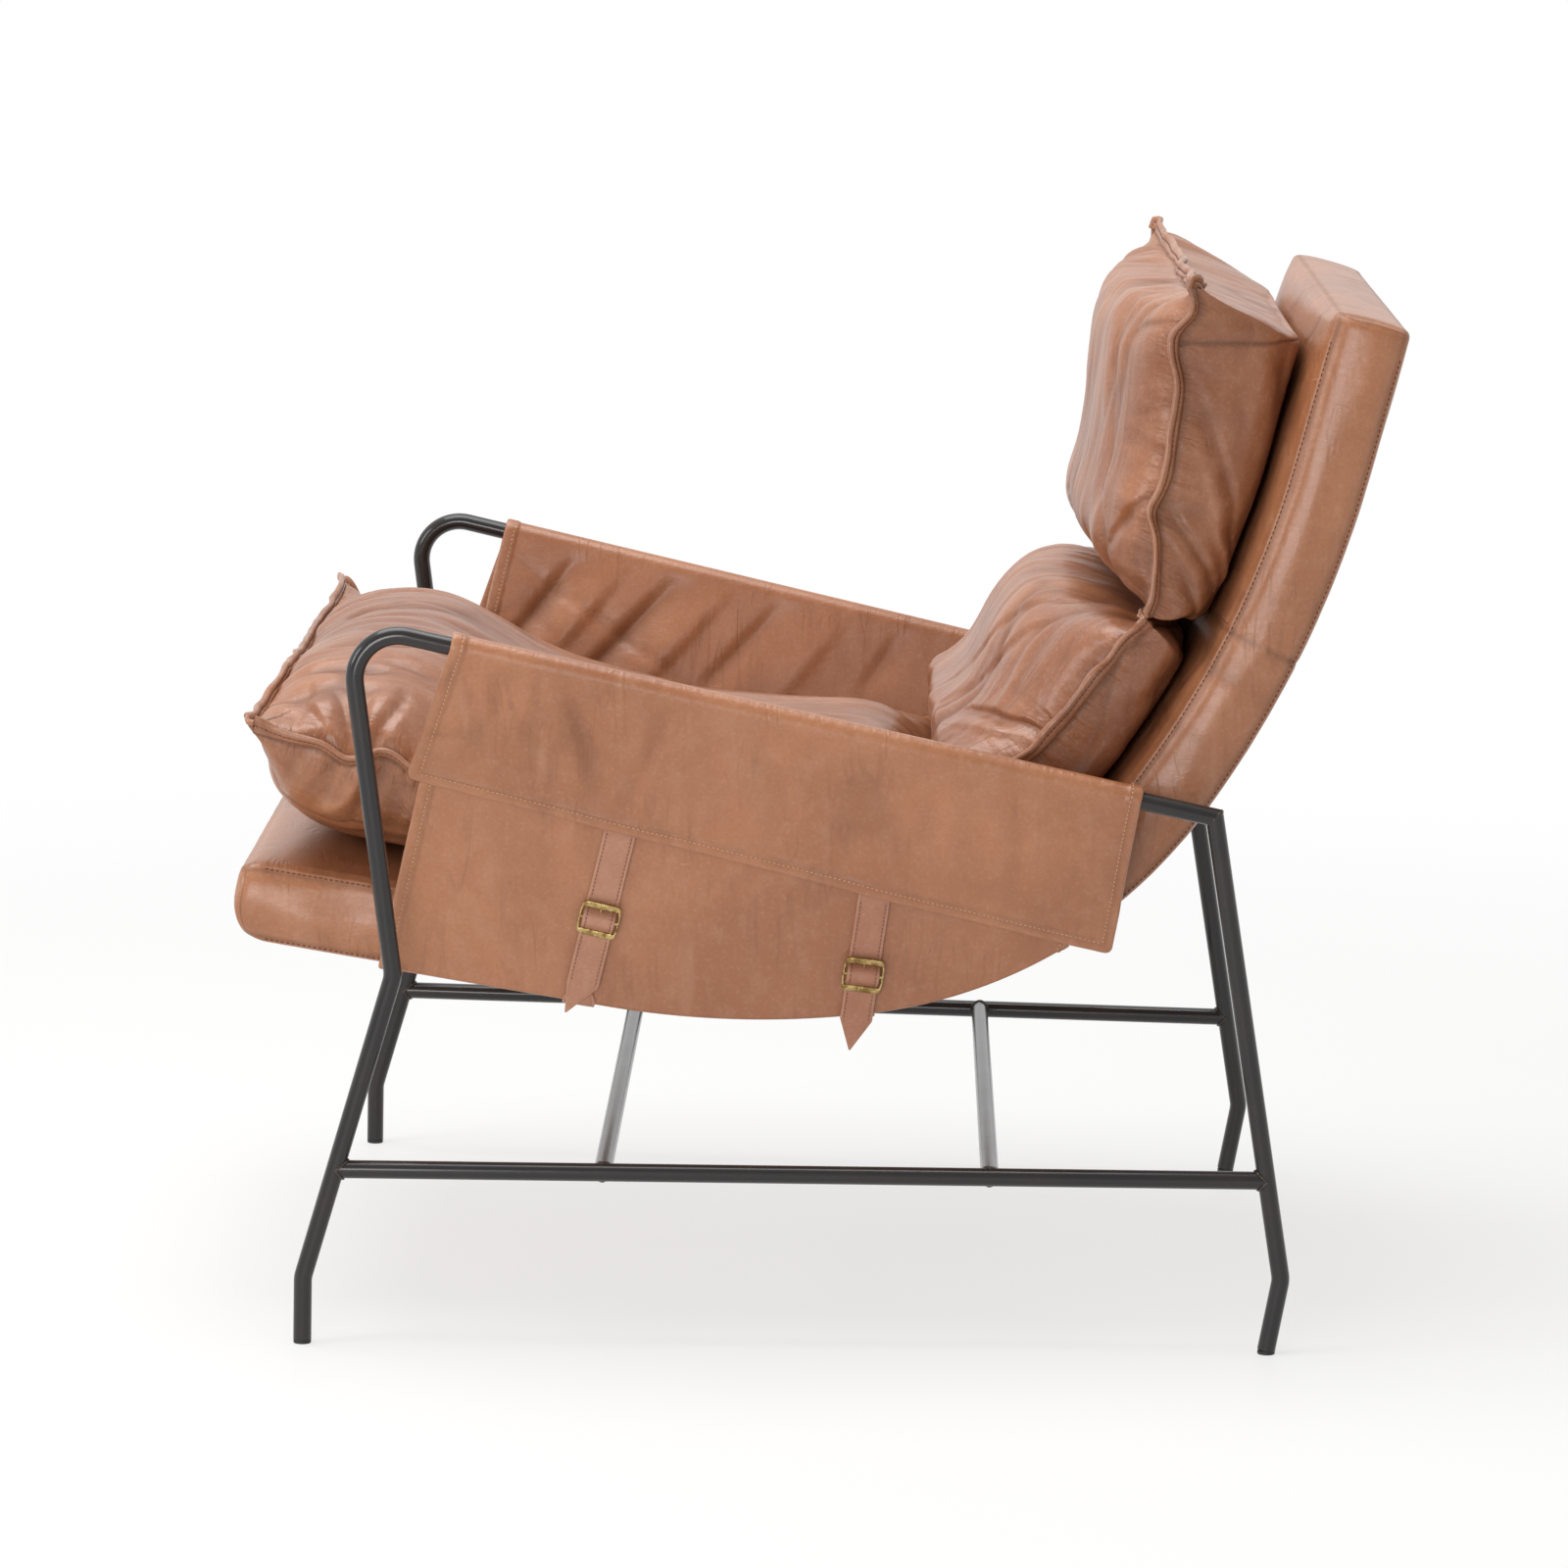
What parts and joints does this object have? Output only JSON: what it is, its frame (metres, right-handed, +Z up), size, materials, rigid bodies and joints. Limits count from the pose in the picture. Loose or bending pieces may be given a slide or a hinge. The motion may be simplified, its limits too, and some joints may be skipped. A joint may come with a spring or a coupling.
{
  "type": "leather_sling_lounge_chair",
  "caption": "Lounge chair with a bent round-tube steel frame, a leather sling buckled under its armrests, a padded one-piece shell and loose seat, lumbar and head cushions",
  "frame": {"origin": "under the middle of the chair's box, on the floor", "axes": "+X sitter's left, +Y to the back, +Z up; the front faces -Y"},
  "size_m": [0.763, 0.895, 0.8357],
  "materials": {
    "frame": "satin gunmetal, slightly bronzed",
    "glides": "matte",
    "leather": "aniline leather, soft sheen",
    "straps": "edge-cut strap leather, matte",
    "buckles": "antiqued",
    "board": "raw plywood",
    "foam": "open-cell foam",
    "fillings": "fibre-filled cotton inner bag",
    "zips": "woven tape with nylon coil"
  },
  "bodies": {
    "chair": {"left_arm_tube": "frame", "right_arm_tube": "frame", "left_rear_leg": "frame", "right_rear_leg": "frame", "left_stretcher": "frame", "right_stretcher": "frame", "front_cross_bar": "frame", "rear_cross_bar": "frame", "left_front_glide": "glides", "right_front_glide": "glides", "left_rear_glide": "glides", "right_rear_glide": "glides", "shell_cover": "leather", "shell_zip": "zips", "shell_board": "board", "shell_top_foam": "foam", "shell_under_foam": "foam", "sling_sheet": "leather", "left_front_billet_strap": "straps", "right_front_billet_strap": "straps", "left_front_chape_strap": "straps", "right_front_chape_strap": "straps", "left_rear_billet_strap": "straps", "right_rear_billet_strap": "straps", "left_rear_chape_strap": "straps", "right_rear_chape_strap": "straps"},
    "seat_cushion": {"seat_cushion_cover": "leather", "seat_cushion_fill": "fillings", "seat_cushion_zip": "zips"},
    "lumbar_cushion": {"lumbar_cushion_cover": "leather", "lumbar_cushion_fill": "fillings", "lumbar_cushion_zip": "zips"},
    "head_cushion": {"head_cushion_cover": "leather", "head_cushion_fill": "fillings", "head_cushion_zip": "zips"},
    "left_front_buckle_frame": {"left_front_buckle": "buckles"},
    "left_front_buckle_prong": {"left_front_prong": "buckles"},
    "right_front_buckle_frame": {"right_front_buckle": "buckles"},
    "right_front_buckle_prong": {"right_front_prong": "buckles"},
    "left_rear_buckle_frame": {"left_rear_buckle": "buckles"},
    "left_rear_buckle_prong": {"left_rear_prong": "buckles"},
    "right_rear_buckle_frame": {"right_rear_buckle": "buckles"},
    "right_rear_buckle_prong": {"right_rear_prong": "buckles"}
  },
  "joints": [
    {"name": "seat_cushion_lifts_off", "type": "slide", "parent": "chair", "child": "seat_cushion", "axis": [0, -0.9063, 0.4226], "range_m": [0, 0.45]},
    {"name": "lumbar_cushion_lifts_off", "type": "slide", "parent": "chair", "child": "lumbar_cushion", "axis": [0, -0.62, 0.7846], "range_m": [0, 0.4]},
    {"name": "head_cushion_lifts_off", "type": "slide", "parent": "lumbar_cushion", "child": "head_cushion", "axis": [0, -0.35, 0.9367], "range_m": [0, 0.35]},
    {"name": "left_front_buckle_rocks", "type": "hinge", "parent": "chair", "child": "left_front_buckle_frame", "pos_m": [0.31422, -0.16369, 0.32329], "axis": [-0.0255, 0.9763, -0.2148], "range_deg": [-3, 3]},
    {"name": "left_front_prong_lifts", "type": "hinge", "parent": "left_front_buckle_frame", "child": "left_front_buckle_prong", "pos_m": [0.31422, -0.16369, 0.32329], "axis": [-0.0255, 0.9763, -0.2148], "range_deg": [0, 10]},
    {"name": "right_front_buckle_rocks", "type": "hinge", "parent": "chair", "child": "right_front_buckle_frame", "pos_m": [-0.31422, -0.16369, 0.32329], "axis": [-0.0255, -0.9763, 0.2148], "range_deg": [-3, 3]},
    {"name": "right_front_prong_lifts", "type": "hinge", "parent": "right_front_buckle_frame", "child": "right_front_buckle_prong", "pos_m": [-0.31422, -0.16369, 0.32329], "axis": [-0.0255, -0.9763, 0.2148], "range_deg": [0, 10]},
    {"name": "left_rear_buckle_rocks", "type": "hinge", "parent": "chair", "child": "left_rear_buckle_frame", "pos_m": [0.3056, 0.03983, 0.28374], "axis": [-0.0481, 0.9929, -0.1092], "range_deg": [-3, 3]},
    {"name": "left_rear_prong_lifts", "type": "hinge", "parent": "left_rear_buckle_frame", "child": "left_rear_buckle_prong", "pos_m": [0.3056, 0.03983, 0.28374], "axis": [-0.0481, 0.9929, -0.1092], "range_deg": [0, 10]},
    {"name": "right_rear_buckle_rocks", "type": "hinge", "parent": "chair", "child": "right_rear_buckle_frame", "pos_m": [-0.3056, 0.03983, 0.28374], "axis": [-0.0481, -0.9929, 0.1092], "range_deg": [-3, 3]},
    {"name": "right_rear_prong_lifts", "type": "hinge", "parent": "right_rear_buckle_frame", "child": "right_rear_buckle_prong", "pos_m": [-0.3056, 0.03983, 0.28374], "axis": [-0.0481, -0.9929, 0.1092], "range_deg": [0, 10]}
  ]
}
